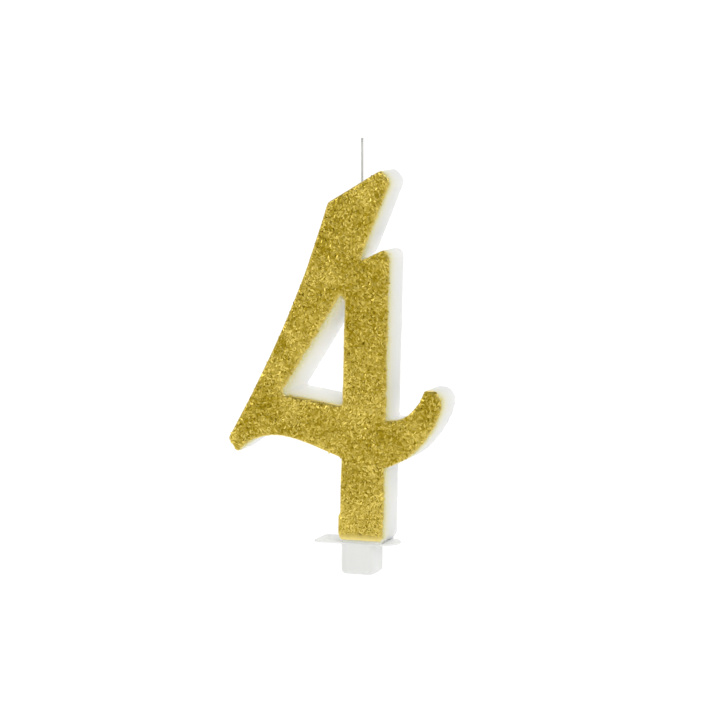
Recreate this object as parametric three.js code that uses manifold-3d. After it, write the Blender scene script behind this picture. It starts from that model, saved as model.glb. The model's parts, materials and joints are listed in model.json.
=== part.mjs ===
// Number candle: a moulded wax figure four with a glitter face, a wick and a plastic holder.
// Millimetres, +Z up. The wick and the plug share the Z axis, and the plug's foot is at z = 0.
// The numeral is read from the front, looking along +Y, so its outline is drawn in x and z.

import * as THREE from 'three';
import { mergeVertices } from 'three/addons/utils/BufferGeometryUtils.js';
import Module from 'manifold-3d';

const wasm = await Module();
wasm.setup();

// Holder: a hollow plug for the cake under a thin flange that rests on the icing
const plugWidth = 12.5;
const plugCorner = 3;
const plugFootRound = 1.5;
const plugHeight = 10.7;
const plugWall = 1.2;
const plugFloor = 1.2;
const flangeLength = 29.6;
const flangeWidth = 13.2;
const flangeCorner = 4.5;
const flangeThickness = 0.7;
const flangeShift = -0.9;

// Room between the wax and what it is seated in or holds
const clearance = 0.3;
const tenonEndGap = 0.5;

// Wax numeral: its depth, the rounding of its edges, and the narrowing of the mould's core
const bodyDepth = 15;
const edgeRound = 0.8;
const coreNarrowing = 2.3;

// Numeral: how far it reaches from the wick to the toe on the left and to the hook on the right, and how
// wide these two ends are
const toeReach = 47.1;
const toeWidth = 3.5;
const hookReach = 31.9;
const hookWidth = 6.9;

// Stem: its right side is measured from the wick at the foot, and it leans by this much per millimetre
const stemRight = 10.5;
const stemWidth = 16.4;
const stemLean = 0.0235;
const footRadiusLeft = 3.6;
const footRadiusRight = 3;
const footStepWidth = 0.6;
const footStepHeight = 10.4;
const peakHeight = 103.4;
const peakSlope = 0.5;
const peakRadius = 2.6;

// Slanted stroke: its corners, with heights above the foot of the numeral. Each point of a curved side has
// a share of the way between the side's ends, and a bow, its distance to the left of the straight line
const shoulder = [-10, 117.7];
const shoulderRadius = 1.4;
const tipUpper = [9.6, 129.4];
const tipUpperRadius = 2;
const tipLower = [13.3, 125.3];
const tipLowerRadius = 2.8;
const slantFoot = [1, 95.2];
const slantShares = [0.246, 0.49, 0.748];
const slantBows = [2, 2.61, 1.79];
const toeUpper = [-toeReach, 34.4];
const toeUpperRadius = 0.9;
const toeLower = [toeWidth - toeReach, 29.5];
const toeLowerRadius = 1.2;

// Crossbar: the arch under its left arm and the hook at the end of its right arm
const archRoot = [-2, 28.2];
const archShares = [0.066, 0.19, 0.365, 0.577, 0.83];
const archBows = [2.39, 5.85, 7.28, 5.85, 2.48];
const barRoot = [4, 24];
const hookOuterShares = [0.158, 0.406, 0.622, 0.797, 0.898];
const hookOuterBows = [-3.39, -7.16, -7.26, -5.66, -3.71];
const hookTip = [hookReach, 54.4];
const hookTipRadius = 4.3;
const hookHeel = [hookReach - hookWidth, 54.3];
const hookHeelRadius = 1.2;
const hookRoot = [11.2, 43.5];
const hookInnerShares = [0.229, 0.554, 0.829];
const hookInnerBows = [2.2, 3.32, 2.34];

// Opening between the strokes
const openingApex = 87.3;
const openingApexRadius = 0.7;
const openingLeft = [-26.6, 51];
const openingLeftRadius = 1;
const openingRight = 47.6;
const openingRightRadius = 0.9;

// Glitter coat on the flat of the front
const glitterThickness = 0.4;
const glitterMargin = 0.1;

// Tightest corner that the mould can hold
const leastRadius = 0.3;

// Wick
const wickDiameter = 0.9;
const wickFreeLength = 16.2;
const wickTipRound = 0.2;

// Facets of a rounded corner, of a rounded edge and of a smooth stretch between two of its points
const cornerSteps = 6;
const edgeSteps = 2;
const curveSteps = 4;
const boreSides = 16;
const wickSides = 12;

// Corners of a mesh that lie closer together than this are one corner
const mergeDistance = 1e-5;

// Places worked out from the sizes
const footLevel = plugHeight + flangeThickness;
const front = -bodyDepth / 2;
const tenonWidth = plugWidth - 2 * plugWall - 2 * clearance;
const tenonCorner = plugCorner - plugWall - clearance;
const tenonLow = plugFloor + tenonEndGap;

function stemSide(offset, height) {
  return new THREE.Vector2(offset + stemLean * height, height);
}

function vector(pair) {
  return new THREE.Vector2(pair[0], pair[1]);
}

// A corner with a radius becomes a run of points on its arc
function roundCorner(before, at, after, radius) {
  const inward = before.clone().sub(at).normalize();
  const outward = after.clone().sub(at).normalize();
  const halfAngle = Math.acos(THREE.MathUtils.clamp(inward.dot(outward), -1, 1)) / 2;
  const reach = radius / Math.tan(halfAngle);
  const start = at.clone().addScaledVector(inward, reach);
  const end = at.clone().addScaledVector(outward, reach);
  const bisector = inward.clone().add(outward).normalize();
  const centre = at.clone().addScaledVector(bisector, radius / Math.sin(halfAngle));
  const from = start.sub(centre).angle();
  let turn = end.sub(centre).angle() - from;
  turn -= 2 * Math.PI * Math.round(turn / (2 * Math.PI));
  const arc = [];
  for (let step = 0; step <= cornerSteps; step += 1) {
    const angle = from + turn * step / cornerSteps;
    arc.push(new THREE.Vector2(centre.x + radius * Math.cos(angle), centre.y + radius * Math.sin(angle)));
  }
  return arc;
}

// A closed outline from corners, each a point with a radius, or a point alone
function roundedOutline(corners) {
  return corners.flatMap((corner, index) => {
    if (!corner.radius) {
      return [corner.at];
    }
    const before = corners[(index + corners.length - 1) % corners.length].at;
    const after = corners[(index + 1) % corners.length].at;
    return roundCorner(before, corner.at, after, corner.radius);
  });
}

// Moves the sides of an anticlockwise outline inwards, and makes its corners tighter by as much
function drawIn(corners, distance) {
  return corners.map((corner, index) => {
    const before = corners[(index + corners.length - 1) % corners.length].at;
    const after = corners[(index + 1) % corners.length].at;
    const along = corner.at.clone().sub(before).normalize();
    along.add(after.clone().sub(corner.at).normalize());
    const normal = new THREE.Vector2(-along.y, along.x);
    const at = corner.at.clone().addScaledVector(normal, 2 * distance / normal.lengthSq());
    return { at, radius: corner.radius && Math.max(corner.radius - distance, leastRadius) };
  });
}

// Points of a curved side between two places, from their shares of the way and their bows
function bowed(from, to, shares, bows) {
  const along = to.clone().sub(from);
  const left = new THREE.Vector2(-along.y, along.x).normalize();
  return shares.map((share, index) => {
    return from.clone().addScaledVector(along, share).addScaledVector(left, bows[index]);
  });
}

// Points along a smooth curve through a few given ones
function smooth(points) {
  const curve = new THREE.SplineCurve(points);
  return curve.getPoints((points.length - 1) * curveSteps).map((at) => ({ at }));
}

function roundedRectangle(length, width, radius, shiftX) {
  const x = length / 2;
  const y = width / 2;
  const corners = [[-x, -y], [x, -y], [x, y], [-x, y]];
  return roundedOutline(corners.map((pair) => {
    return { at: new THREE.Vector2(shiftX + pair[0], pair[1]), radius };
  }));
}

function toSolid(geometry) {
  geometry.deleteAttribute('normal');
  geometry.deleteAttribute('uv');
  const merged = mergeVertices(geometry, mergeDistance);
  return new wasm.Manifold(new wasm.Mesh({
    numProp: 3,
    vertProperties: merged.attributes.position.array,
    triVerts: Uint32Array.from(merged.index.array),
  }));
}

function toGeometry(solid) {
  const mesh = solid.getMesh();
  const geometry = new THREE.BufferGeometry();
  geometry.setAttribute('position', new THREE.BufferAttribute(mesh.vertProperties, 3));
  geometry.setIndex(new THREE.BufferAttribute(mesh.triVerts, 1));
  geometry.computeVertexNormals();
  return geometry;
}

// Upright column on an outline in x and y, with its lower edge rounded if a radius is given
function column(points, low, high, footRound = 0) {
  const geometry = new THREE.ExtrudeGeometry(new THREE.Shape(points), {
    depth: high - low - footRound,
    bevelEnabled: footRound > 0,
    bevelSize: footRound,
    bevelThickness: footRound,
    bevelOffset: -footRound,
    bevelSegments: 2 * edgeSteps,
  });
  geometry.translate(0, 0, low + footRound);
  return toSolid(geometry).trimByPlane([0, 0, -1], -high);
}

// Solid through like outlines in x and z, each layer at its own y, from the front to the back
function loft(layers) {
  const count = layers[0].points.length;
  const last = count * (layers.length - 1);
  const frontFaces = THREE.ShapeUtils.triangulateShape(layers[0].points, []);
  const backFaces = THREE.ShapeUtils.triangulateShape(layers[layers.length - 1].points, []);
  const index = frontFaces.flat();
  index.push(...backFaces.flatMap(([a, b, c]) => [last + c, last + b, last + a]));
  for (let a = 0; a < last; a += 1) {
    const b = (a + 1) % count === 0 ? a + 1 - count : a + 1;
    index.push(a, a + count, b + count, a, b + count, b);
  }
  const places = layers.flatMap(({ points, y }) => points.flatMap((at) => [at.x, y, footLevel + at.y]));
  const geometry = new THREE.BufferGeometry();
  geometry.setAttribute('position', new THREE.Float32BufferAttribute(places, 3));
  geometry.setIndex(index);
  return toSolid(geometry);
}

// Stroke of the numeral through its whole depth, with its front and back edges rounded
function stroke(corners) {
  const edge = [];
  for (let step = 0; step <= edgeSteps; step += 1) {
    const angle = Math.PI / 2 * step / edgeSteps;
    const points = roundedOutline(drawIn(corners, edgeRound * (1 - Math.sin(angle))));
    edge.push({ points, y: front + edgeRound * (1 - Math.cos(angle)) });
  }
  const back = edge.map(({ points, y }) => ({ points, y: -y })).reverse();
  return loft([...edge, ...back]);
}

function stemCorners() {
  const left = stemRight - stemWidth;
  return [
    { at: stemSide(left - footStepWidth, 0), radius: footRadiusLeft },
    { at: stemSide(stemRight, 0), radius: footRadiusRight },
    { at: stemSide(stemRight, peakHeight), radius: peakRadius },
    { at: stemSide(left, peakHeight - peakSlope * stemWidth) },
    { at: stemSide(left, footStepHeight) },
    { at: stemSide(left - footStepWidth, footStepHeight - 2 * footStepWidth) },
  ];
}

// Slanted stroke and crossbar in one sweep, filled across to the stem: the opening is cut later
function sweepCorners() {
  const middle = stemRight - stemWidth / 2;
  const [top, toe, sole] = [shoulder, toeUpper, toeLower].map(vector);
  const [arm, bar, tip, heel, root] = [archRoot, barRoot, hookTip, hookHeel, hookRoot].map(vector);
  return [
    { at: toe, radius: toeUpperRadius },
    { at: sole, radius: toeLowerRadius },
    ...smooth([...bowed(sole, arm, archShares, archBows), arm]),
    { at: bar },
    ...smooth(bowed(bar, tip, hookOuterShares, hookOuterBows)),
    { at: tip, radius: hookTipRadius },
    { at: heel, radius: hookHeelRadius },
    ...smooth([...bowed(heel, root, hookInnerShares, hookInnerBows), root]),
    { at: stemSide(middle, openingRight) },
    { at: stemSide(middle, openingApex) },
    { at: vector(slantFoot) },
    { at: vector(tipLower), radius: tipLowerRadius },
    { at: vector(tipUpper), radius: tipUpperRadius },
    { at: top, radius: shoulderRadius },
    ...smooth([top, ...bowed(top, toe, slantShares, slantBows), toe]).slice(1, -1),
  ];
}

// The opening's outline, drawn in by a distance, or let out if the distance is negative
function openingOutline(distance) {
  const left = stemRight - stemWidth;
  return roundedOutline(drawIn([
    { at: vector(openingLeft), radius: openingLeftRadius },
    { at: stemSide(left, openingRight), radius: openingRightRadius },
    { at: stemSide(left, openingApex), radius: openingApexRadius },
  ], distance));
}

// The mould's core, which leaves the opening narrower at the back of the numeral
function openingCore() {
  const past = coreNarrowing * edgeRound / bodyDepth;
  return loft([
    { points: openingOutline(-past), y: front - edgeRound },
    { points: openingOutline(coreNarrowing + past), y: edgeRound - front },
  ]);
}

function openingChamfer() {
  return loft([
    { points: openingOutline(-2 * edgeRound), y: front - edgeRound },
    { points: openingOutline(0), y: front + edgeRound },
  ]);
}

function wickBore() {
  const length = footLevel + tipUpper[1] + wickFreeLength;
  const radius = wickDiameter / 2 + clearance;
  const bore = new THREE.CylinderGeometry(radius, radius, length, boreSides);
  bore.rotateX(Math.PI / 2);
  bore.translate(0, 0, length / 2);
  return toSolid(bore);
}

function waxBody() {
  const tenon = roundedRectangle(tenonWidth, tenonWidth, tenonCorner, 0);
  return stroke(stemCorners())
    .add(stroke(sweepCorners()))
    .subtract(openingCore())
    .subtract(openingChamfer())
    .add(column(tenon, tenonLow, footLevel + footRadiusLeft))
    .subtract(wickBore());
}

// Flat coat between the front face of the wax and a plane that far in front of it
function coat(points, thickness) {
  return loft([{ points, y: front - thickness }, { points, y: front }]);
}

function glitterFace() {
  const border = edgeRound + glitterMargin;
  const stem = roundedOutline(drawIn(stemCorners(), border));
  const sweep = roundedOutline(drawIn(sweepCorners(), border));
  const opening = openingOutline(-border);
  return coat(stem, glitterThickness)
    .add(coat(sweep, glitterThickness))
    .subtract(coat(opening, 2 * glitterThickness));
}

// Height of the slanted top edge over x = 0, where the wick leaves it
function wickExit() {
  const share = -shoulder[0] / (tipUpper[0] - shoulder[0]);
  return footLevel + shoulder[1] + share * (tipUpper[1] - shoulder[1]);
}

function wick() {
  const radius = wickDiameter / 2;
  const low = tenonLow + clearance;
  const high = wickExit() + wickFreeLength;
  const shoulderLevel = high - wickTipRound;
  const tip = [[radius, shoulderLevel], [radius - wickTipRound, high], [0, high]];
  const profile = [[0, low], [radius, low], ...tip];
  const geometry = new THREE.LatheGeometry(profile.map(vector), wickSides);
  geometry.rotateX(Math.PI / 2);
  return toSolid(geometry);
}

function holder() {
  const plug = roundedRectangle(plugWidth, plugWidth, plugCorner, 0);
  const flange = roundedRectangle(flangeLength, flangeWidth, flangeCorner, flangeShift);
  const socketWidth = plugWidth - 2 * plugWall;
  const socket = roundedRectangle(socketWidth, socketWidth, plugCorner - plugWall, 0);
  return column(plug, 0, footLevel, plugFootRound)
    .add(column(flange, plugHeight, footLevel))
    .subtract(column(socket, plugFloor, footLevel + plugFloor));
}

function part(name, solid, color, roughness, metalness) {
  const material = new THREE.MeshStandardMaterial({ color, roughness, metalness });
  const mesh = new THREE.Mesh(toGeometry(solid), material);
  mesh.name = name;
  return mesh;
}

const candle = new THREE.Group();
candle.add(part('wax_body', waxBody(), 0xe9eae4, 0.55, 0));
candle.add(part('glitter_face', glitterFace(), 0xb69e39, 0.4, 0.6));
candle.add(part('wick', wick(), 0xd1d2d0, 0.9, 0));

const numberCandle = new THREE.Group();
numberCandle.add(candle);
numberCandle.add(part('holder', holder(), 0xe6e7e4, 0.4, 0));

export default numberCandle;
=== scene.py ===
# %% [markdown]
# # A number candle
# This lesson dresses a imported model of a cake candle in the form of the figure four. The model already has
# the right sizes and places, and nothing here moves it. Four of its pieces get their real surface: the wax
# casting, the coat of gold glitter on its face, the wick, and the plastic holder that is pushed into the
# cake. The flakes that lie loose on the coat are a fifth piece.
# Everything is in metres: +Z is up along the wick, and the glitter face looks along -Y.

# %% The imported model
import json
import math

import bpy
import numpy as np
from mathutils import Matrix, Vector, noise

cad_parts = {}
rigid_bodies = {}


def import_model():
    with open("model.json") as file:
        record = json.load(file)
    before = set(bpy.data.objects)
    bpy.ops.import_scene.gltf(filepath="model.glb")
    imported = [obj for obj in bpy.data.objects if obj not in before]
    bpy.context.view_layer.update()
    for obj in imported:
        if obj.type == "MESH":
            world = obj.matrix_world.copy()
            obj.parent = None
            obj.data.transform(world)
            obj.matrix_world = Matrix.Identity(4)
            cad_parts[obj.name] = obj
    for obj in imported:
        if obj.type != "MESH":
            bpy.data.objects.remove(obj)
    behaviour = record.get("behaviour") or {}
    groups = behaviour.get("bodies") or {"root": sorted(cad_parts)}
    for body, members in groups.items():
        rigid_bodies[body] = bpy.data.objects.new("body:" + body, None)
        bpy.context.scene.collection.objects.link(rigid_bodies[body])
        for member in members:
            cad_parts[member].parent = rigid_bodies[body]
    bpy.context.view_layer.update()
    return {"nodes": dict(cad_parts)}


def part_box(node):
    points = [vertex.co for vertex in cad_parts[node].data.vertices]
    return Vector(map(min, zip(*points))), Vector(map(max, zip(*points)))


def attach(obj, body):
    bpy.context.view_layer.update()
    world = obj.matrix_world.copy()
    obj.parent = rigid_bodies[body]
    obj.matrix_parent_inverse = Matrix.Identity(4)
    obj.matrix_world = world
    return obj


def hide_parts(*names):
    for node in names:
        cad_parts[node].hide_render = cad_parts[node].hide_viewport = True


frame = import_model()
MM = 0.001
for node in frame["nodes"]:
    low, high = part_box(node)
    print(node, "reaches from", [round(v / MM, 2) for v in low], "to", [round(v / MM, 2) for v in high])

# %% [markdown]
# ## Working by selection
# Blender's operators act on all that is selected, and the model comes in selected. So each step first
# chooses one piece and nothing else, and picks faces by their place or by the way that they look. Modifiers
# are applied as soon as they are set, which leaves plain meshes that are easy to measure.

# %% Choosing pieces, and adding primitives and modifiers
def set_all(thing, settings):
    """Sets each named property of a thing to its value."""
    for name, value in settings.items():
        setattr(thing, name, value)


def choose(piece, *others):
    """Makes one piece active, and selects it and the others alone."""
    bpy.ops.object.select_all(action="DESELECT")
    for one in (piece, *others):
        one.select_set(True)
    bpy.context.view_layer.objects.active = piece


def apply_modifier(piece, kind, **settings):
    """Adds a modifier with these settings to the piece and applies it."""
    choose(piece)
    modifier = piece.modifiers.new(kind.title(), kind)
    set_all(modifier, settings)
    bpy.ops.object.modifier_apply(modifier=modifier.name)


def primitive(name, add, **settings):
    """A primitive at its size and place, under its own name."""
    bpy.ops.object.select_all(action="DESELECT")
    add(**settings)
    piece = bpy.context.active_object
    piece.name = piece.data.name = name
    bpy.ops.object.transform_apply(location=True, rotation=True, scale=True)
    return piece


def join(piece, *others):
    """Joins the others into the piece."""
    choose(piece, *others)
    bpy.ops.object.join()


# %% Editing a mesh
def edit(piece, *steps):
    """Runs edit-mode operators, each with its settings, on what is selected in the piece."""
    choose(piece)
    bpy.ops.object.mode_set(mode="EDIT")
    for operator, settings in steps:
        operator(**settings)
    bpy.ops.object.mode_set(mode="OBJECT")


def select_only(piece, kind, chosen):
    """Selects only the faces (FACE) or edges (EDGE) that are true in chosen, and returns how many."""
    edit(
        piece,
        (bpy.ops.mesh.select_mode, {"type": kind}),
        (bpy.ops.mesh.select_all, {"action": "DESELECT"}))
    elements = piece.data.polygons if kind == "FACE" else piece.data.edges
    elements.foreach_set("select", chosen)
    return sum(chosen)


def select_faces(piece, wanted):
    """Selects the faces for which wanted(centre, normal) is true, and returns how many they are."""
    return select_only(piece, "FACE", [wanted(face.center, face.normal) for face in piece.data.polygons])


# %% Measuring a mesh
def triangles(piece):
    """How many triangles the piece's faces come to."""
    return sum(len(face.vertices) - 2 for face in piece.data.polygons)


def vectors(piece, kind):
    """The place (co) or the normal of each of the piece's vertices, as rows of x, y and z."""
    found = np.empty(3 * len(piece.data.vertices), np.float32)
    piece.data.vertices.foreach_get(kind, found)
    return found.reshape(-1, 3)


# %% [markdown]
# ## Materials as node trees
# A material is a small network of nodes. One function adds a node, sets its options and fills its inputs,
# either with a value or with a link from another node. Colours are written as the sRGB hex values of a
# colour picker. Shaders calculate in linear light, so each is converted once, here.

# %% Colours
def linear(colour):
    """An sRGB hex colour as the linear red, green, blue and alpha of a shader."""
    levels = [int(colour[i:i + 2], 16) / 255 for i in (1, 3, 5)]
    return (*[c / 12.92 if c <= 0.04045 else ((c + 0.055) / 1.055) ** 2.4 for c in levels], 1)


print("middle grey, #808080, is", round(linear("#808080")[0], 3), "in linear light")

# %% Nodes
# Inputs go by name. Where a node has several of the same name, they go by number: 0 and 1 on a Math node,
# 2 and 3 for the limits of a random number, and these four for the colours of a Mix node
SHARE, FIRST, SECOND, MIXED = 0, 6, 7, 2

# A noise texture stays between about these two levels
NOISE_RANGE = {"From Min": 0.3, "From Max": 0.7}


def set_inputs(tree, node, inputs):
    """Sets inputs of a node. One that is given another node's output is linked to it."""
    for key, value in inputs.items():
        if isinstance(value, bpy.types.NodeSocket):
            tree.links.new(value, node.inputs[key])
        else:
            node.inputs[key].default_value = value


def add_node(tree, kind, inputs=None, **options):
    """A node with its options and inputs."""
    node = tree.nodes.new(kind)
    set_all(node, options)
    set_inputs(tree, node, inputs or {})
    return node


# %% Materials, and finishing a piece
def new_material(name):
    """A new material, with its node tree and its shader."""
    material = bpy.data.materials.new(name)
    material.use_nodes = True
    tree = material.node_tree
    return material, tree, tree.nodes["Principled BSDF"]


def finish_piece(piece, material, body, node=None):
    """Gives a finished piece its material, puts it on its body, hides the node it replaces, and prints its
    size.
    """
    piece.data.materials.clear()
    piece.data.materials.append(material)
    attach(piece, body)
    if node:
        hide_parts(node)
    found = vectors(piece, "co") / MM
    low, high = found.min(0).round(2), found.max(0).round(2)
    print(piece.name, "has", triangles(piece), "triangles, from", low, "to", high, "mm")


# %% [markdown]
# ## Camera, floor and light
# The photograph was taken with a long lens, from 19 degrees to the right and 7 degrees above, against a
# background that is exposed until it has no tone left. Here the candle stands on a floor that glows like a
# light table, and the sky is white behind it. Towards the camera the sky is dimmer, so that the side walls
# and the front of the holder keep some grey.

# %% Camera
# The sensor and the focal length are in millimetres, as camera makers give them
SENSOR_WIDTH = 36
FOCAL_LENGTH = 142.75
CAMERA_PLACE = (0.3216, -0.9258, 0.19213)
CAMERA_TILT = math.radians(83.15)
CAMERA_AZIMUTH = math.radians(19.2)
camera_data = bpy.data.cameras.new("camera")
camera_data.sensor_width = SENSOR_WIDTH
camera_data.lens = FOCAL_LENGTH
camera = bpy.data.objects.new("camera", camera_data)
bpy.context.scene.collection.objects.link(camera)
camera.location = CAMERA_PLACE
camera.rotation_euler = (CAMERA_TILT, 0, CAMERA_AZIMUTH)
bpy.context.scene.camera = camera
bpy.context.scene.view_settings.view_transform = "Standard"
print("the camera stands", round(camera.location.length, 3), "m from the foot of the candle")

# %% A floor like a light table
FLOOR_WIDTH = 40
floor = primitive("floor", bpy.ops.mesh.primitive_plane_add, size=FLOOR_WIDTH)
table_top, tree, shader = new_material("opal_acrylic_lit_from_below")
set_inputs(tree, shader, {
    "Base Color": linear("#A8A8A8"), "Roughness": 0.9, "Specular IOR Level": 0.0,
    "Emission Color": linear("#FFFFFF"), "Emission Strength": 0.75})
floor.data.materials.append(table_top)
print("the floor is", FLOOR_WIDTH, "m wide, so its edges lie far outside every view")

# %% A white sky, brightest low down and behind the candle
sky = bpy.data.worlds.new("white_studio")
bpy.context.scene.world = sky
sky.use_nodes = True
tree = sky.node_tree
direction = add_node(
    tree, "ShaderNodeSeparateXYZ", {0: add_node(tree, "ShaderNodeTexCoord").outputs["Generated"]})
by_height = add_node(
    tree, "ShaderNodeMapRange",
    {"Value": direction.outputs["Z"], "From Min": 0.06, "From Max": 0.7, "To Min": 1.04, "To Max": 0.7},
    interpolation_type="SMOOTHSTEP")
by_depth = add_node(
    tree, "ShaderNodeMapRange",
    {"Value": direction.outputs["Y"], "From Min": 0.0, "From Max": 0.7, "To Min": 0.37, "To Max": 1.1},
    interpolation_type="SMOOTHSTEP")
brightness = add_node(
    tree, "ShaderNodeMath", {0: by_height.outputs[0], 1: by_depth.outputs[0]}, operation="MULTIPLY")
set_inputs(tree, tree.nodes["Background"], {"Color": linear("#FFFFFF"), "Strength": brightness.outputs[0]})
print("the sky has", len(tree.nodes), "nodes")

# %% [markdown]
# Three soft lights shape the candle. A wide silk above and behind it whitens each face that looks up. The
# key light comes from the front right, as the bright right-hand walls show. A softbox on the left lifts the
# glitter and gives it its glints. All three are large, so no shadow has a hard edge.

# %% Silk, key light and softbox
def add_light(name, kind, place, turn, **settings):
    """A light at its place, turned by these degrees about X, Y and Z, with its settings."""
    bpy.ops.object.light_add(type=kind, location=place, rotation=[math.radians(angle) for angle in turn])
    light = bpy.context.active_object
    light.name = name
    set_all(light.data, settings)
    print(name, "has an energy of", round(light.data.energy, 2))


# Where a sun stands makes no difference, only how it is turned
ABOVE = (0, 0, 1)
add_light("overhead_silk", "SUN", ABOVE, (-35, 0, 0), angle=math.radians(50), energy=0.6)
add_light("key_right", "SUN", ABOVE, (51, 0, 45), angle=math.radians(40), energy=1.2)
add_light("softbox_left", "AREA", (-1.1, -0.9, 0.6), (68, 0, -50), size=0.5, energy=5)

# %% [markdown]
# ## The wax casting
# The numeral is one block of paraffin wax, cast in a soft mould. Nothing on it is truly sharp or truly
# flat: edges melt into each other, and the walls sink a little as the wax cools. It could be sculpted by
# hand. The model's casting already has the right form, though in long straight facets, so a copy of it is
# covered with an even skin of small squares, which can then be smoothed and made slightly wavy.
# The bore round the wick is closed first, because real wax sets tightly round its wick and climbs it.

# %% A copy of the casting with the wick's bore closed
def merged_copy(node, name):
    """A new piece from a node's mesh, whose loose triangles are merged."""
    mesh = frame["nodes"][node].data.copy()
    mesh.name = name
    piece = bpy.data.objects.new(name, mesh)
    bpy.context.scene.collection.objects.link(piece)
    edit(
        piece,
        (bpy.ops.mesh.select_all, {"action": "SELECT"}),
        (bpy.ops.mesh.remove_doubles, {"threshold": 0.001 * MM}),
        (bpy.ops.mesh.customdata_custom_splitnormals_clear, {}))
    return piece


WICK_LOW, WICK_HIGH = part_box("wick")
WICK_RADIUS = WICK_HIGH.x
WICK_FREE = 16.2 * MM
WICK_EXIT = WICK_HIGH.z - WICK_FREE
FILL_RADIUS = 2.2 * WICK_RADIUS
FILL_BELOW_EXIT = 0.8 * MM
MOUND_RADIUS = 2.9 * WICK_RADIUS
MOUND_BELOW_EXIT = 0.85 * MM

casting = merged_copy("wax_body", "wax_casting")
fill_low = WICK_LOW.z
fill_high = WICK_EXIT - FILL_BELOW_EXIT
bore_fill = primitive(
    "bore_fill", bpy.ops.mesh.primitive_cylinder_add, vertices=24, radius=FILL_RADIUS,
    depth=fill_high - fill_low, location=(0, 0, (fill_low + fill_high) / 2))
mound = primitive(
    "mound", bpy.ops.mesh.primitive_uv_sphere_add, segments=24, ring_count=12, radius=MOUND_RADIUS,
    location=(0, 0, WICK_EXIT - MOUND_BELOW_EXIT))
join(casting, bore_fill, mound)
print("the casting starts with", triangles(casting), "triangles")

# %% [markdown]
# The model keeps a gap of 0.3 mm between the wax and the flange under it, as solids need. Real wax stands
# on its flange, so the faces of the foot come down by that gap. After the remesh their rim is pressed flat
# again, a hair above the flange.

# %% The foot comes down to the flange
FOOT_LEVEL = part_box("holder")[1].z
FOOT_GAP = 0.3 * MM
LOOKS_DOWN = -0.9
foot_faces = select_faces(
    casting, lambda centre, normal: normal.z < LOOKS_DOWN and abs(centre.z - FOOT_LEVEL) < 2 * FOOT_GAP)
edit(casting, (bpy.ops.transform.translate, {"value": (0, 0, -FOOT_GAP)}))
print(foot_faces, "faces of the foot go down to the flange")

# %% An even skin, melted edges and a slight waviness
SKIN = 0.48 * MM
apply_modifier(casting, "REMESH", mode="VOXEL", voxel_size=SKIN)
apply_modifier(casting, "SMOOTH", factor=0.5, iterations=4)

WAVE_LENGTH = 14 * MM
WAVE_HEIGHT = 0.22 * MM
waves = bpy.data.textures.new("cooling_waves", "CLOUDS")
waves.noise_scale = WAVE_LENGTH
apply_modifier(
    casting, "DISPLACE", texture=waves, texture_coords="LOCAL", strength=WAVE_HEIGHT, mid_level=0.5)
print("the casting has", triangles(casting), "triangles, with", SKIN / MM, "mm between its vertices")

# %% The rim of the foot is pressed flat
FOOT_EDGE = 0.45 * MM
HAIR = 0.03 * MM
LEANS_DOWN = -0.2
settled = select_faces(
    casting, lambda centre, normal: abs(centre.z - FOOT_LEVEL) < FOOT_EDGE and normal.z < LEANS_DOWN)
edit(casting, (
    bpy.ops.transform.resize, {"value": (1, 1, 0), "center_override": (0, 0, FOOT_LEVEL + HAIR)}))
print(settled, "faces round the foot lie flat on the flange")
choose(casting)
bpy.ops.object.shade_smooth()

# %% [markdown]
# ## What the wax needs to know about its place
# Light wanders through wax, so the walls inside the opening, the bottoms of the notches and the lowest
# edge glow where a plain solid would have a dark corner. Scattering at this size doesn't carry the light
# that far, so each vertex keeps a share by which its wax is enclosed, and the material is painted paler
# there: painted light that lifts the shade of those corners.
# A second share says how much gold dust clings to the wall. It is full beside the glitter, thins out
# towards the back, and falls to little more than a third within 3.3 mm.

# %% Where the wax is enclosed
def keep_shares(piece, name, values):
    """Keeps one value for each vertex of the piece, where its material can read it."""
    attribute = piece.data.attributes.new(name, "FLOAT", "POINT")
    attribute.data.foreach_set("value", np.asarray(values, np.float32))


# Pairs are the two ends of a fade. The opening is taller than wide, so heights count less in its reach
OPENING_CENTRE = (-12 * MM, 0, 73 * MM)
OPENING_REACH = (21 * MM, 26 * MM)
HEIGHTS_COUNT = 0.7
# How much paler the wax is painted inside the opening and above the flange: painted light in their shade
OPENING_PAINTED_GLOW = 0.6
TOWARDS_IT = (0, 0.2)
FROM_DOWN_TO_UP = (-0.5, 1)
PAINTED_GLOW_WHERE_UP = 0.45
CREVICE = 2.5 * MM

at = vectors(casting, "co")
normals = vectors(casting, "normal")
inward = (OPENING_CENTRE - at) * (1, 0, 1)
distance = np.linalg.norm(inward * (1, 0, HEIGHTS_COUNT), axis=1)
towards = (inward * normals).sum(1) / np.linalg.norm(inward, axis=1)
in_shade = np.interp(normals[:, 2], FROM_DOWN_TO_UP, (1, PAINTED_GLOW_WHERE_UP))
near_opening = np.interp(distance, OPENING_REACH, (1, 0))
in_opening = np.interp(towards, TOWARDS_IT, (0, 1)) * near_opening * in_shade
in_crevice = np.interp(at[:, 2], (FOOT_LEVEL, FOOT_LEVEL + CREVICE), (1, 0))
enclosed = OPENING_PAINTED_GLOW * np.maximum(in_opening, in_crevice)
print((in_opening > 0.5).sum(), "vertices lie in the opening,", (in_crevice > 0.5).sum(), "above the flange")
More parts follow.
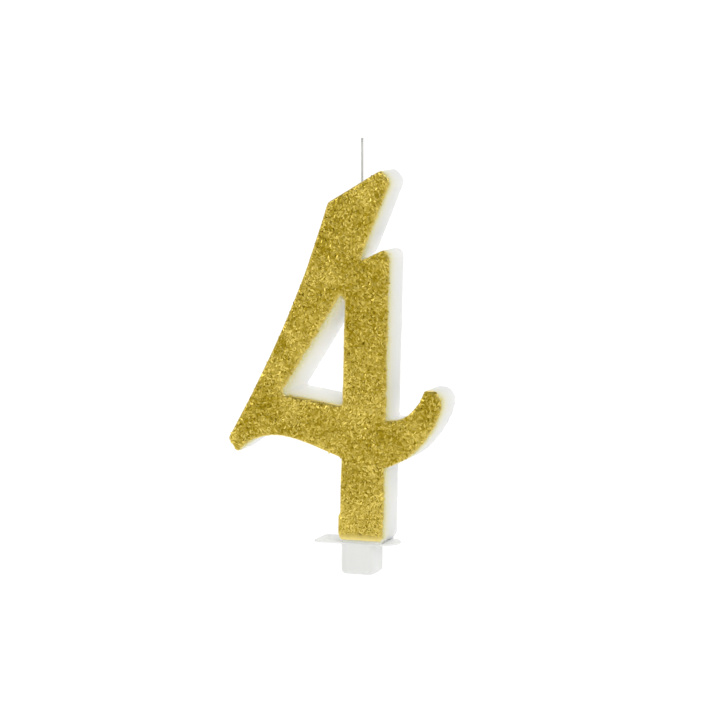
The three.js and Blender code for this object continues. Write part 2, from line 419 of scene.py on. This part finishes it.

# %% The bottoms of the notches, and the apex of the opening
# Each has its x and z, and how much paler the wax is painted there, as painted light
NOTCHES = ((2.2 * MM, 109.4 * MM, 1.0), (11.2 * MM, 54.9 * MM, 0.4), (-4.8 * MM, 94 * MM, 1.0))
NOTCH_REACH = (2 * MM, 10 * MM)
FROM_WALL_TO_FACE = (0.5, 0.9)
on_wall = np.interp(np.abs(normals[:, 1]), FROM_WALL_TO_FACE, (1, 0))
for x, z, glow in NOTCHES:
    away = np.hypot(at[:, 0] - x, at[:, 2] - z)
    enclosed = np.maximum(enclosed, np.interp(away, NOTCH_REACH, (glow, 0)) * on_wall)
keep_shares(casting, "enclosed", enclosed)
print((enclosed > 0.5).sum(), "vertices of the casting are enclosed")

# %% Where gold dust clings to the walls
WALL_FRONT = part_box("wax_body")[0].y
DUST_START = 0.1 * MM
DUST_FADE = 3.3 * MM
# Less dust is painted in the crevice above the flange, as painted light that lifts its shade
CREVICE_PAINTED_LIGHT = 0.7
past_front = np.maximum(at[:, 1] - WALL_FRONT - DUST_START, 0)
dust = np.exp(-past_front / DUST_FADE) * (1 - CREVICE_PAINTED_LIGHT * in_crevice)
keep_shares(casting, "dust", dust)
print((dust > 0.5).sum(), "vertices of the casting are dusty")

# %% [markdown]
# ## Paraffin wax
# Paraffin is milky: light enters it, scatters a few millimetres deep and comes out again, which softens
# every shadow. Cast against silicone it is satin, with faint cloudy mottling 9 mm wide and a grain of
# 0.7 mm, which shows in the gloss and breaks up the dust. That dust tints the wax next to the glitter, so
# the edge of the coat fades through cream into white. Subsurface scattering with the depths of real wax
# gives the milkiness, which no plain colour could.

# %% Material of the wax
# Gives the eye a soft white with no hard shadow, partly from painted light in its corners, and a cream edge
# along the glitter
MOTTLE_WIDTH = 9 * MM
GRAIN_WIDTH = 0.7 * MM
wax, tree, shader = new_material("cast_paraffin_wax")
where = add_node(tree, "ShaderNodeTexCoord").outputs["Object"]
mottling = add_node(tree, "ShaderNodeTexNoise", {"Vector": where, "Scale": 1 / MOTTLE_WIDTH, "Detail": 3.0})
grain = add_node(tree, "ShaderNodeTexNoise", {"Vector": where, "Scale": 1 / GRAIN_WIDTH, "Detail": 2.0})
milk = add_node(
    tree, "ShaderNodeMix",
    {SHARE: mottling.outputs[0], FIRST: linear("#DCDDDC"), SECOND: linear("#E6E7E7")}, data_type="RGBA")
# Enclosed wax is painted paler, up to white: painted light in place of the scattering that would fill its
# corners
enclosed_share = add_node(tree, "ShaderNodeAttribute", attribute_name="enclosed").outputs["Fac"]
painted_glow = add_node(
    tree, "ShaderNodeMix",
    {SHARE: enclosed_share, FIRST: milk.outputs[MIXED], SECOND: linear("#FFFFFF")}, data_type="RGBA")
speck = add_node(
    tree, "ShaderNodeMapRange", {"Value": grain.outputs[0], **NOISE_RANGE, "To Min": 0.55, "To Max": 1.15})
dust_share = add_node(tree, "ShaderNodeAttribute", attribute_name="dust").outputs["Fac"]
speckled = add_node(tree, "ShaderNodeMath", {0: dust_share, 1: speck.outputs[0]}, operation="MULTIPLY")
dusted = add_node(
    tree, "ShaderNodeMix",
    {SHARE: speckled.outputs[0], FIRST: painted_glow.outputs[MIXED], SECOND: linear("#DCD282")},
    data_type="RGBA")
satin = add_node(
    tree, "ShaderNodeMapRange",
    {"Value": mottling.outputs[0], **NOISE_RANGE, "To Min": 0.42, "To Max": 0.55})
grain_bump = add_node(
    tree, "ShaderNodeBump", {"Height": grain.outputs[0], "Strength": 0.25, "Distance": 0.02 * MM})
set_inputs(tree, shader, {
    "Base Color": dusted.outputs[MIXED], "Roughness": satin.outputs[0], "Normal": grain_bump.outputs[0],
    "IOR": 1.43, "Subsurface Weight": 0.7, "Subsurface Radius": (7 * MM, 6.4 * MM, 5.6 * MM),
    "Subsurface Scale": 1.0})
finish_piece(casting, wax, "candle", "wax_body")

# %% [markdown]
# ## The glitter coat
# The face was brushed with clear lacquer and strewn with gold film glitter, several layers deep. It laps
# round the front edge of the wax by about a millimetre and ends there, ragged. On the right-hand walls it
# hardly laps at all. A painted texture would do for the colour, but not for the outline seen from the
# side, so the coat is a mesh. It is made from the front of the wax itself, which makes it fit everywhere.

# %% The front of the wax becomes a sheet
def copy_piece(piece, name):
    """A copy of a finished piece with a mesh of its own, which rides on nothing yet."""
    copy = piece.copy()
    copy.data = piece.data.copy()
    copy.name = copy.data.name = name
    copy.parent = None
    for key in list(copy.keys()):
        del copy[key]
    bpy.context.scene.collection.objects.link(copy)
    return copy


LAP = 1.1 * MM
LAP_RIGHT = 0.3 * MM
RIGHTWARD_GAIN = 1.6
RAGGED = 0.1 * MM
RAGGED_LENGTH = 1.6 * MM
FOOT_BARE = 0.8 * MM
LOOKS_FORWARD = -0.96
NEARLY_ZERO = 0.01


def under_glitter(centre, normal):
    """True where the brush reached: round the left, upper and lower edges, but hardly round the right."""
    if centre.z < FOOT_LEVEL + FOOT_BARE:
        return False
    if normal.y < LOOKS_FORWARD:
        return True
    rightward = max(normal.x, 0) / max(math.hypot(normal.x, normal.z), NEARLY_ZERO)
    lap = LAP + (LAP_RIGHT - LAP) * min(RIGHTWARD_GAIN * rightward, 1)
    return centre.y < WALL_FRONT + lap + RAGGED * noise.noise(centre / RAGGED_LENGTH)


coat = copy_piece(casting, "glitter_coat")
select_faces(coat, lambda centre, normal: not under_glitter(centre, normal))
edit(coat, (bpy.ops.mesh.delete, {"type": "FACE"}))
print("the sheet has", triangles(coat), "triangles")

# %% [markdown]
# The cut leaves the sheet with a border of little steps. It is smoothed and laid back onto the wax. Glitter
# lies thinner towards the border, because less lacquer held it there, so the rings of vertices next to the
# border get a smaller share of the coat's thickness. The relief has a share too. It fades where the face
# turns away from the front, and over the lowest 3 mm, where the lacquer ran and left a smooth rim. The
# material paints that rim pale gold, partly the lacquer's colour and partly a painted highlight.

# %% A smooth border, and how thick the coat is near it
RING_SHARES = (0.3, 0.6, 0.85)


def weigh(piece, name, weights):
    """Writes one weight for each vertex into a vertex group."""
    group = piece.vertex_groups.new(name=name)
    for vertex, weight in enumerate(weights):
        group.add([vertex], float(weight), "REPLACE")


edit(
    coat,
    (bpy.ops.mesh.select_mode, {"type": "VERT"}),
    (bpy.ops.mesh.select_all, {"action": "DESELECT"}),
    (bpy.ops.mesh.select_non_manifold, {}),
    (bpy.ops.mesh.vertices_smooth, {"factor": 0.5, "repeat": 4}))
apply_modifier(coat, "SHRINKWRAP", target=casting, wrap_method="NEAREST_SURFACEPOINT")
count = len(coat.data.vertices)
share = np.ones(count)
for ring_share in RING_SHARES:
    near = np.zeros(count, bool)
    coat.data.vertices.foreach_get("select", near)
    share[near & (share == 1)] = ring_share
    edit(coat, (bpy.ops.mesh.select_more, {}))
weigh(coat, "full_thickness", share)
print("the coat thins out over", (share < 1).sum(), "of its", count, "vertices")

# %% Where the relief may rise
FOOT_RIM = 3.2 * MM
FORWARD_START = 0.75
FORWARD_RANGE = 0.2
facing = np.array([-vertex.normal.y for vertex in coat.data.vertices])
faces_forward = np.clip((facing - FORWARD_START) / FORWARD_RANGE, 0, 1)
above_foot = vectors(coat, "co")[:, 2] - FOOT_LEVEL - FOOT_BARE
strewn = np.minimum(share, faces_forward) * np.clip(above_foot / FOOT_RIM, 0, 1)
print("the relief is full at", (strewn == 1).sum(), "vertices")

# %% Thickness, and a finer outer side
# Solidify adds a second shell with as many vertices as the first. The outer one lies further forward
COAT_THICKNESS = 0.3 * MM
OUTWARD_PART = 0.6
apply_modifier(
    coat, "SOLIDIFY", thickness=COAT_THICKNESS, offset=OUTWARD_PART, use_even_offset=False,
    vertex_group="full_thickness", thickness_vertex_group=0.0)
y = vectors(coat, "co")[:, 1]
outer = range(count) if y[:count].mean() < y[count:].mean() else range(count, 2 * count)
weights = np.zeros(2 * count)
weights[outer.start:outer.stop] = strewn
weigh(coat, "strewn", weights)
select_only(coat, "FACE", [all(v in outer for v in face.vertices) for face in coat.data.polygons])
edit(coat, (bpy.ops.mesh.subdivide, {"number_cuts": 1}))
print("the coat has", triangles(coat), "triangles")

# %% [markdown]
# Strewn flakes heap up and leave pits between them. Three textures in turn push the outer side in and out:
# ridges like crumpled film, single heaps, and broad brush marks in the lacquer. How far each vertex has
# moved is kept with the mesh, and by it the material paints pits dark, as painted shade, and crests light,
# as painted highlight.
# Real glitter is 0.2 to 0.4 mm across, which is one pixel of the render. The heaps are drawn about four
# times as coarse, so that they show.

# %% Relief of the heaped glitter
# Each relief has its kind of texture, its height and the texture's settings
RELIEFS = {
    "crumpled_film": (
        "MUSGRAVE", 0.12 * MM, {"musgrave_type": "RIDGED_MULTIFRACTAL", "noise_scale": 1.3 * MM}),
    "heaped_grains": ("VORONOI", -0.12 * MM, {"noise_scale": 1.1 * MM}),
    "brushed_lacquer": ("CLOUDS", 0.12 * MM, {"noise_scale": 6 * MM}),
}
before = vectors(coat, "co")
for name, (kind, rise, settings) in RELIEFS.items():
    texture = bpy.data.textures.new(name, kind)
    set_all(texture, settings)
    apply_modifier(
        coat, "DISPLACE", texture=texture, texture_coords="LOCAL", strength=rise, mid_level=0.5,
        vertex_group="strewn")
relief = ((vectors(coat, "co") - before) * vectors(coat, "normal")).sum(1) / MM
keep_shares(coat, "relief", relief)

# The subdivision gave its new vertices a weight between their neighbours', so the weights are read back
strewn_group = coat.vertex_groups["strewn"].index
keep_shares(coat, "glitter", [
    sum(entry.weight for entry in vertex.groups if entry.group == strewn_group)
    for vertex in coat.data.vertices])
choose(coat)
bpy.ops.object.shade_smooth()
print("the relief is from", relief.min().round(3), "to", relief.max().round(3), "mm")

# %% [markdown]
# ## Lacquered film glitter
# The coat under the loose flakes is film with a layer of metal, set in lacquer. So it is a metal, whose
# colour is its reflection, with a roughness that changes from fleck to fleck. Flecks are drawn 0.6 mm wide,
# twice as wide as real ones, so that they show. Pits between them see only other gold, and their olive brown
# is painted shade; crests are painted lighter, as painted highlight. Where no glitter was strewn, the
# lacquer is smooth, and its pale gold is partly the lacquer's colour and partly a painted highlight.

# %% Material of the glitter coat
# Gives the eye a deep, broken gold in which dark pits of painted shade and light crests of painted highlight
# stand close together.
# The depths are in millimetres, as the relief is kept
PIT_BOTTOM = -0.12
PIT_BRIM = 0.02
CREST_TOP = 0.12
FLECK_WIDTH = 0.6 * MM
gold, tree, shader = new_material("lacquered_gold_film_glitter")
where = add_node(tree, "ShaderNodeTexCoord").outputs["Object"]
depth = add_node(tree, "ShaderNodeAttribute", attribute_name="relief").outputs["Fac"]
fleck = add_node(tree, "ShaderNodeTexNoise", {"Vector": where, "Scale": 1 / FLECK_WIDTH, "Detail": 2.0})
pits = add_node(
    tree, "ShaderNodeMapRange",
    {"Value": depth, "From Min": PIT_BOTTOM, "From Max": PIT_BRIM, "To Min": 0.0, "To Max": 1.0})
crests = add_node(
    tree, "ShaderNodeMapRange",
    {"Value": depth, "From Min": 0.0, "From Max": CREST_TOP, "To Min": 0.0, "To Max": 1.0})
# Pits are painted dark olive, as painted shade, and crests light gold, as painted highlight
painted_pit_shade = add_node(
    tree, "ShaderNodeMix",
    {SHARE: pits.outputs[0], FIRST: linear("#624F00"), SECOND: linear("#AA9226")}, data_type="RGBA")
painted_crest_highlight = add_node(
    tree, "ShaderNodeMix",
    {SHARE: crests.outputs[0], FIRST: painted_pit_shade.outputs[MIXED], SECOND: linear("#C8B04A")},
    data_type="RGBA")
glitter_share = add_node(tree, "ShaderNodeAttribute", attribute_name="glitter").outputs["Fac"]
# Smooth lacquer is painted pale gold: partly its own colour, partly a painted highlight
lacquer_and_painted_highlight = add_node(
    tree, "ShaderNodeMix",
    {SHARE: glitter_share, FIRST: linear("#F6E290"), SECOND: painted_crest_highlight.outputs[MIXED]}, data_type="RGBA")
fleck_bump = add_node(
    tree, "ShaderNodeBump", {"Height": fleck.outputs[0], "Strength": 0.5, "Distance": 0.1 * MM})
gloss = add_node(
    tree, "ShaderNodeMapRange", {"Value": fleck.outputs[0], **NOISE_RANGE, "To Min": 0.25, "To Max": 0.5})
set_inputs(tree, shader, {
    "Base Color": lacquer_and_painted_highlight.outputs[MIXED], "Metallic": 1.0, "Roughness": gloss.outputs[0],
    "Normal": fleck_bump.outputs[0]})
finish_piece(coat, gold, "candle", "glitter_face")

# %% [markdown]
# ## Loose flakes
# Glitter is film cut into tiny six-sided flakes. On the coat they lie at many angles, and each one is a
# small mirror with a tone of its own. Placing them by hand is out of the question, so one flake is
# modelled, and a small Geometry Nodes group scatters it: points spread evenly, a flake on each, tilted a
# little. The brush combed the flakes, so their long sides follow slow swirls, with some spread.
# A flake is drawn five times as long and twice as wide as a real one, which would be one pixel of the
# render.

# %% One flake
FLAKE_LENGTH = 1.5 * MM
FLAKE_WIDTH = 0.6 * MM
FLAKE_THICKNESS = 0.04 * MM
flake = primitive(
    "flake", bpy.ops.mesh.primitive_cylinder_add, vertices=6, radius=0.5,
    depth=1, scale=(FLAKE_LENGTH, FLAKE_WIDTH, FLAKE_THICKNESS))
print("a flake has", triangles(flake), "triangles")

# %% Points on the coat
# Four points are tried for each square of the spacing, and those that lie too close together are left out
FLAKE_SPACING = 0.5 * MM
DENSEST = 4 / FLAKE_SPACING ** 2
LEAST_GLITTER = 0.7
PLACE_SEED, TURN_SEED, SIZE_SEED, TONE_SEED = 4, 5, 6, 7

scatter = bpy.data.node_groups.new("scatter_flakes", "GeometryNodeTree")
for side in ("INPUT", "OUTPUT"):
    scatter.interface.new_socket("Geometry", in_out=side, socket_type="NodeSocketGeometry")
ground = add_node(scatter, "NodeGroupInput").outputs[0]
glitter_here = add_node(scatter, "GeometryNodeInputNamedAttribute", {"Name": "glitter"}, data_type="FLOAT")
has_glitter = add_node(
    scatter, "FunctionNodeCompare", {0: glitter_here.outputs[0], 1: LEAST_GLITTER},
    data_type="FLOAT", operation="GREATER_THAN")
points = add_node(
    scatter, "GeometryNodeDistributePointsOnFaces",
    {"Mesh": ground, "Selection": has_glitter.outputs[0], "Distance Min": FLAKE_SPACING,
     "Density Max": DENSEST, "Seed": PLACE_SEED}, distribute_method="POISSON")
print("points lie", FLAKE_SPACING / MM, "mm apart or more")

# %% Which way each flake lies
# A noise texture turns the flakes alike where they are close together, by up to two full turns
FLAKE_TILT = math.radians(14)
STROKE_SIZE = 6 * MM
STROKE_SWING = 4 * math.pi
STRAY = math.radians(50)
swirls = add_node(scatter, "ShaderNodeTexNoise", {"Scale": 1 / STROKE_SIZE, "Detail": 1.0})
along_stroke = add_node(
    scatter, "ShaderNodeMath", {0: swirls.outputs[0], 1: STROKE_SWING}, operation="MULTIPLY")
combed = add_node(scatter, "ShaderNodeCombineXYZ", {"Z": along_stroke.outputs[0]})
stray = add_node(
    scatter, "FunctionNodeRandomValue",
    {0: (-FLAKE_TILT, -FLAKE_TILT, -STRAY), 1: (FLAKE_TILT, FLAKE_TILT, STRAY), "Seed": TURN_SEED},
    data_type="FLOAT_VECTOR")
angles = add_node(
    scatter, "ShaderNodeVectorMath", {0: stray.outputs[0], 1: combed.outputs[0]}, operation="ADD")
turn = add_node(scatter, "FunctionNodeEulerToRotation", {0: angles.outputs[0]})
turned = add_node(
    scatter, "FunctionNodeRotateRotation", {0: points.outputs["Rotation"], 1: turn.outputs[0]},
    rotation_space="LOCAL")
print("flakes tilt by up to", round(math.degrees(FLAKE_TILT)), "degrees")

# %% A flake on each point, with its size and tone
SMALLEST, LARGEST = 0.7, 1.3
flake_size = add_node(
    scatter, "FunctionNodeRandomValue", {2: SMALLEST, 3: LARGEST, "Seed": SIZE_SEED}, data_type="FLOAT")
flake_shape = add_node(scatter, "GeometryNodeObjectInfo", {"Object": flake})
copies = add_node(
    scatter, "GeometryNodeInstanceOnPoints",
    {"Points": points.outputs["Points"], "Rotation": turned.outputs[0], "Scale": flake_size.outputs[1],
     "Instance": flake_shape.outputs["Geometry"]})
flake_tone = add_node(
    scatter, "FunctionNodeRandomValue", {2: 0.0, 3: 1.0, "Seed": TONE_SEED}, data_type="FLOAT")
toned = add_node(
    scatter, "GeometryNodeStoreNamedAttribute",
    {"Geometry": copies.outputs[0], "Name": "tone", "Value": flake_tone.outputs[1]},
    data_type="FLOAT", domain="INSTANCE")
real = add_node(scatter, "GeometryNodeRealizeInstances", {0: toned.outputs[0]})
add_node(scatter, "NodeGroupOutput", {0: real.outputs[0]})

flakes = copy_piece(coat, "glitter_flakes")
apply_modifier(flakes, "NODES", node_group=scatter)
bpy.data.objects.remove(flake)
print("the flakes have", triangles(flakes), "triangles")

# %% [markdown]
# The flakes are polyester film with a layer of metal. A flake's tone stands for how much lacquer covers it:
# dark olive gold where it is deep, light gold where the film is bare, which is glossier too. Broad patches
# lean darker or lighter, as strewing by hand leaves them. The lowest 24 mm are painted lighter towards the
# foot: a painted reflection of the bright floor.

# %% Material of the flakes
# Gives the eye thousands of small separate glints, with patches 11 mm wide that it takes for brush work
PAINTED_FLOOR_REFLECTION_HEIGHT = 24 * MM
PATCH_WIDTH = 11 * MM
film, tree, shader = new_material("gold_metallised_film")
where = add_node(tree, "ShaderNodeTexCoord").outputs["Object"]
own_tone = add_node(tree, "ShaderNodeAttribute", attribute_name="tone").outputs["Fac"]
patches = add_node(tree, "ShaderNodeTexNoise", {"Vector": where, "Scale": 1 / PATCH_WIDTH, "Detail": 0.0})
lean = add_node(
    tree, "ShaderNodeMapRange",
    {"Value": patches.outputs[0], **NOISE_RANGE, "To Min": -0.22, "To Max": 0.22})
height = add_node(tree, "ShaderNodeSeparateXYZ", {0: where}).outputs["Z"]
# The lowest flakes are painted lighter: a painted reflection of the bright floor
painted_floor_reflection = add_node(
    tree, "ShaderNodeMapRange",
    {"Value": height, "From Min": FOOT_LEVEL, "From Max": FOOT_LEVEL + PAINTED_FLOOR_REFLECTION_HEIGHT,
     "To Min": 0.75, "To Max": 0.0})
patchy = add_node(tree, "ShaderNodeMath", {0: own_tone, 1: lean.outputs[0]}, operation="ADD")
lightness = add_node(
    tree, "ShaderNodeMath", {0: patchy.outputs[0], 1: painted_floor_reflection.outputs[0]},
    operation="ADD", use_clamp=True)
film_gold = add_node(
    tree, "ShaderNodeMix",
    {SHARE: lightness.outputs[0], FIRST: linear("#A28A14"), SECOND: linear("#E9D26C")}, data_type="RGBA")
film_gloss = add_node(
    tree, "ShaderNodeMapRange",
    {"Value": own_tone, "From Min": 0.0, "From Max": 1.0, "To Min": 0.55, "To Max": 0.42})
set_inputs(tree, shader, {
    "Base Color": film_gold.outputs[MIXED], "Metallic": 1.0, "Roughness": film_gloss.outputs[0]})
finish_piece(flakes, film, "candle")

# %% [markdown]
# ## The wick
# A candle's wick is a braid of cotton, dipped in wax so that it stands up. Three strands take turns to
# pass over each other: each swings from side to side once and from front to back twice in a pitch of the
# braid. One cylinder with a bump texture would look turned, not braided, so each strand is a curve with a
# round section that becomes a mesh. A real wick this thin has dozens of yarns, each 0.1 mm thick. The
# three strands are far thicker, so that the braid shows.

# %% Three strands in a braid
STRANDS = 3
STRAND_RADIUS = 0.4 * WICK_RADIUS
BRAID_PITCH = 2.6 * MM
STEPS_IN_PITCH = 12
SWING_SIDE = WICK_RADIUS - STRAND_RADIUS
SWING_DEPTH = 0.46 * WICK_RADIUS
BRAID_BELOW_TIP = 0.5 * MM


def braided(strand, height):
    """A point on a strand's centre line, at this height above the wick's lower end."""
    angle = 2 * math.pi * (height / BRAID_PITCH + strand / STRANDS)
    return (SWING_SIDE * math.sin(angle), SWING_DEPTH * math.sin(2 * angle), WICK_LOW.z + height)


def strand_piece(strand, length):
    """One strand of the braid as a mesh."""
    curve = bpy.data.curves.new("strand", "CURVE")
    set_all(curve, {
        "dimensions": "3D", "bevel_depth": STRAND_RADIUS, "bevel_resolution": 1, "use_fill_caps": True})
    steps = round(length / BRAID_PITCH * STEPS_IN_PITCH)
    line = curve.splines.new("POLY")
    line.points.add(steps)
    for step, point in enumerate(line.points):
        point.co = (*braided(strand, length * step / steps), 1)
    piece = bpy.data.objects.new(f"strand_{strand}", curve)
    bpy.context.scene.collection.objects.link(piece)
    choose(piece)
    bpy.ops.object.convert(target="MESH")
    return bpy.context.active_object


braid_length = WICK_HIGH.z - WICK_LOW.z - BRAID_BELOW_TIP
wick, *others = [strand_piece(strand, braid_length) for strand in range(STRANDS)]
print("each strand has", triangles(wick), "triangles")

# %% [markdown]
# The braid is cut off at its tip, and the fibres there spread. They are placed as seeds sit in a
# sunflower, which fills a disc evenly from its middle, and the outer ones lean further out. A fibre of
# cotton is 0.02 mm thick, so each cone here stands for a small bundle of them.

# %% The frayed tip
FIBRES = 15
FIBRE_ROOT = 0.05 * MM
FIBRE_END = 0.02 * MM
GOLDEN_ANGLE = math.radians(137.5)
INNERMOST_LEAN = 6
MORE_LEAN = 26
FRAY = 1.2 * MM
FRAY_SPREAD = 0.75 * WICK_RADIUS
FRAY_MIDDLE = WICK_HIGH.z - 0.62 * FRAY
for fibre in range(FIBRES):
    lean_out = math.radians(INNERMOST_LEAN + MORE_LEAN * fibre / FIBRES)
    around = fibre * GOLDEN_ANGLE
    out = FRAY_SPREAD * math.sqrt((fibre + 0.5) / FIBRES)
    others.append(primitive(
        f"fibre_{fibre}", bpy.ops.mesh.primitive_cone_add, vertices=4, radius1=FIBRE_ROOT,
        radius2=FIBRE_END, depth=FRAY, rotation=(0, lean_out, around),
        location=(out * math.cos(around), out * math.sin(around), FRAY_MIDDLE)))
join(wick, *others)
wick.name = wick.data.name = "braided_wick"
choose(wick)
bpy.ops.object.shade_smooth()
print("the wick has", FIBRES, "bundles of fibres at its tip")

# %% [markdown]
# Cotton that was dipped in wax is grey-white, because the wax fills the air between its fibres. Its sheen
# comes from the fuzz that still stands out of the film of wax. Yarns of 0.1 mm wouldn't show, so they are
# drawn 0.25 mm apart. The last two millimetres are a little soiled, from the blade and from fingers.

# %% Material of the wick
# Gives the eye a thin, slightly rough, grey-white thread whose tip is darker
YARN_SPACING = 0.25 * MM
SOILED_LENGTH = 2 * MM
cotton, tree, shader = new_material("waxed_cotton_braid")
where = add_node(tree, "ShaderNodeTexCoord").outputs["Object"]
yarn = add_node(tree, "ShaderNodeTexNoise", {"Vector": where, "Scale": 1 / YARN_SPACING, "Detail": 2.0})
waxed = add_node(
    tree, "ShaderNodeMix",
    {SHARE: yarn.outputs[0], FIRST: linear("#C8C8C4"), SECOND: linear("#E0E0DC")}, data_type="RGBA")
height = add_node(tree, "ShaderNodeSeparateXYZ", {0: where}).outputs["Z"]
near_tip = add_node(
    tree, "ShaderNodeMapRange",
    {"Value": height, "From Min": WICK_HIGH.z - SOILED_LENGTH, "From Max": WICK_HIGH.z,
     "To Min": 0.0, "To Max": 0.6})
soiled = add_node(
    tree, "ShaderNodeMix",
    {SHARE: near_tip.outputs[0], FIRST: waxed.outputs[MIXED], SECOND: linear("#8E8E8A")}, data_type="RGBA")
yarn_bump = add_node(
    tree, "ShaderNodeBump", {"Height": yarn.outputs[0], "Strength": 0.6, "Distance": 0.03 * MM})
set_inputs(tree, shader, {
    "Base Color": soiled.outputs[MIXED], "Roughness": 0.7, "Normal": yarn_bump.outputs[0],
    "Sheen Weight": 0.15})
finish_piece(wick, cotton, "candle", "wick")

# %% [markdown]
# ## The holder
# The holder is one small moulding: a hollow plug that goes into the cake, and a thin oblong flange that
# rests on the icing. Its walls are 1.2 mm thick, which is common for such mouldings. Two boxes get round
# corners, are united, and are cut by a third for the socket, as a designer would build it. A last bevel
# runs along every edge that is still sharp, because a mould leaves a small radius there.

# %% A box with round corners
# The width of the last bevel. Two places that are nearer than this count as one
EDGE = 0.12 * MM


def upright(a, b):
    """True where the edge from a to b stands upright."""
    return abs(a.x - b.x) + abs(a.y - b.y) < EDGE and abs(a.z - b.z) > EDGE


def select_edges(piece, wanted):
    """Selects the edges for which wanted(one end, other end) is true, and returns how many they are."""
    ends = [[piece.data.vertices[end].co for end in edge.vertices] for edge in piece.data.edges]
    return select_only(piece, "EDGE", [wanted(*pair) for pair in ends])


def rounded_box(name, low, high, corner_left, corner_right, segments):
    """A box whose upright edges are rounded, the left pair and the right pair each by its own radius."""
    low, high = Vector(low), Vector(high)
    middle = (low + high) / 2
    piece = primitive(name, bpy.ops.mesh.primitive_cube_add, size=1, location=middle, scale=high - low)
    for corner, side in ((corner_left, -1), (corner_right, 1)):
        select_edges(piece, lambda a, b: upright(a, b) and side * (a.x - middle.x) > (high.x - low.x) / 3)
        edit(piece, (bpy.ops.mesh.bevel, {"offset": corner, "segments": segments, "affect": "EDGES"}))
    return piece


# %% The plug, the flange and the socket
HOLDER_LOW, HOLDER_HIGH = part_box("holder")
PLUG_WIDTH = 12.5 * MM
PLUG_CORNER = 3 * MM
PLUG_FOOT_ROUND = 1.5 * MM
PLUG_WALL = 1.2 * MM
FLANGE_THICKNESS = 0.7 * MM
FLANGE_CORNER_LEFT = 1.6 * MM
FLANGE_CORNER_RIGHT = 6.4 * MM
SHARP = math.radians(35)

half = PLUG_WIDTH / 2
top = HOLDER_HIGH.z
holder = rounded_box(
    "candle_holder", (-half, -half, 0), (half, half, top), PLUG_CORNER, PLUG_CORNER, segments=10)
select_edges(holder, lambda a, b: max(a.z, b.z) < EDGE)
edit(holder, (bpy.ops.mesh.bevel, {"offset": PLUG_FOOT_ROUND, "segments": 6, "affect": "EDGES"}))
flange = rounded_box(
    "flange", (HOLDER_LOW.x, HOLDER_LOW.y, top - FLANGE_THICKNESS), HOLDER_HIGH,
    FLANGE_CORNER_LEFT, FLANGE_CORNER_RIGHT, segments=12)
apply_modifier(holder, "BOOLEAN", operation="UNION", object=flange, solver="EXACT")
inside = half - PLUG_WALL
socket = rounded_box(
    "socket", (-inside, -inside, PLUG_WALL), (inside, inside, top + PLUG_WALL),
    PLUG_CORNER - PLUG_WALL, PLUG_CORNER - PLUG_WALL, segments=8)
apply_modifier(holder, "BOOLEAN", operation="DIFFERENCE", object=socket, solver="EXACT")
for tool in (flange, socket):
    bpy.data.objects.remove(tool)
apply_modifier(
    holder, "BEVEL", width=EDGE, segments=3, limit_method="ANGLE", angle_limit=SHARP,
    use_clamp_overlap=True)
choose(holder)
bpy.ops.object.shade_smooth_by_angle(angle=SHARP)
print("the holder has", triangles(holder), "triangles")

# %% [markdown]
# ## Moulded polypropylene
# Holders for cake candles are moulded from a white plastic. Which one it is can't be seen, and this one is
# drawn as polypropylene, which is slightly waxy and lets a little light in. Its colour is even, apart from
# faint flow marks 6 mm wide, and the mould's spark-eroded face leaves a grain of 0.3 mm, too shallow to
# see but for the satin gloss. The flange is so thin that light comes through it. Scattering doesn't show
# that at this size, so the flange is painted paler: painted light, which also lifts the shade that the wax
# casts on it.

# %% Material of the holder
# Gives the eye a plain satin white, with less depth than the wax
PALE_BELOW_TOP = 1.4 * MM
FLOW_WIDTH = 6 * MM
SPARK_WIDTH = 0.3 * MM
plastic, tree, shader = new_material("moulded_white_polypropylene")
where = add_node(tree, "ShaderNodeTexCoord").outputs["Object"]
flow = add_node(tree, "ShaderNodeTexNoise", {"Vector": where, "Scale": 1 / FLOW_WIDTH, "Detail": 2.0})
spark = add_node(tree, "ShaderNodeTexNoise", {"Vector": where, "Scale": 1 / SPARK_WIDTH, "Detail": 2.0})
white = add_node(
    tree, "ShaderNodeMix",
    {SHARE: flow.outputs[0], FIRST: linear("#DFE0DD"), SECOND: linear("#E5E6E3")}, data_type="RGBA")
height = add_node(tree, "ShaderNodeSeparateXYZ", {0: where}).outputs["Z"]
in_flange = add_node(
    tree, "ShaderNodeMapRange",
    {"Value": height, "From Min": top - PALE_BELOW_TOP, "From Max": top - FLANGE_THICKNESS,
     "To Min": 0.0, "To Max": 1.0})
# The flange is painted paler: painted light where light would pass through it and where the wax shades it
flange_painted_light = add_node(
    tree, "ShaderNodeMix",
    {SHARE: in_flange.outputs[0], FIRST: white.outputs[MIXED], SECOND: linear("#EAEBE9")},
    data_type="RGBA")
plastic_gloss = add_node(
    tree, "ShaderNodeMapRange", {"Value": flow.outputs[0], **NOISE_RANGE, "To Min": 0.35, "To Max": 0.5})
spark_bump = add_node(
    tree, "ShaderNodeBump", {"Height": spark.outputs[0], "Strength": 0.3, "Distance": 0.01 * MM})
set_inputs(tree, shader, {
    "Base Color": flange_painted_light.outputs[MIXED], "Roughness": plastic_gloss.outputs[0],
    "Normal": spark_bump.outputs[0], "IOR": 1.49, "Subsurface Weight": 0.1,
    "Subsurface Radius": (1 * MM, 1 * MM, 1 * MM), "Subsurface Scale": 1.0})
finish_piece(holder, plastic, "holder", "holder")
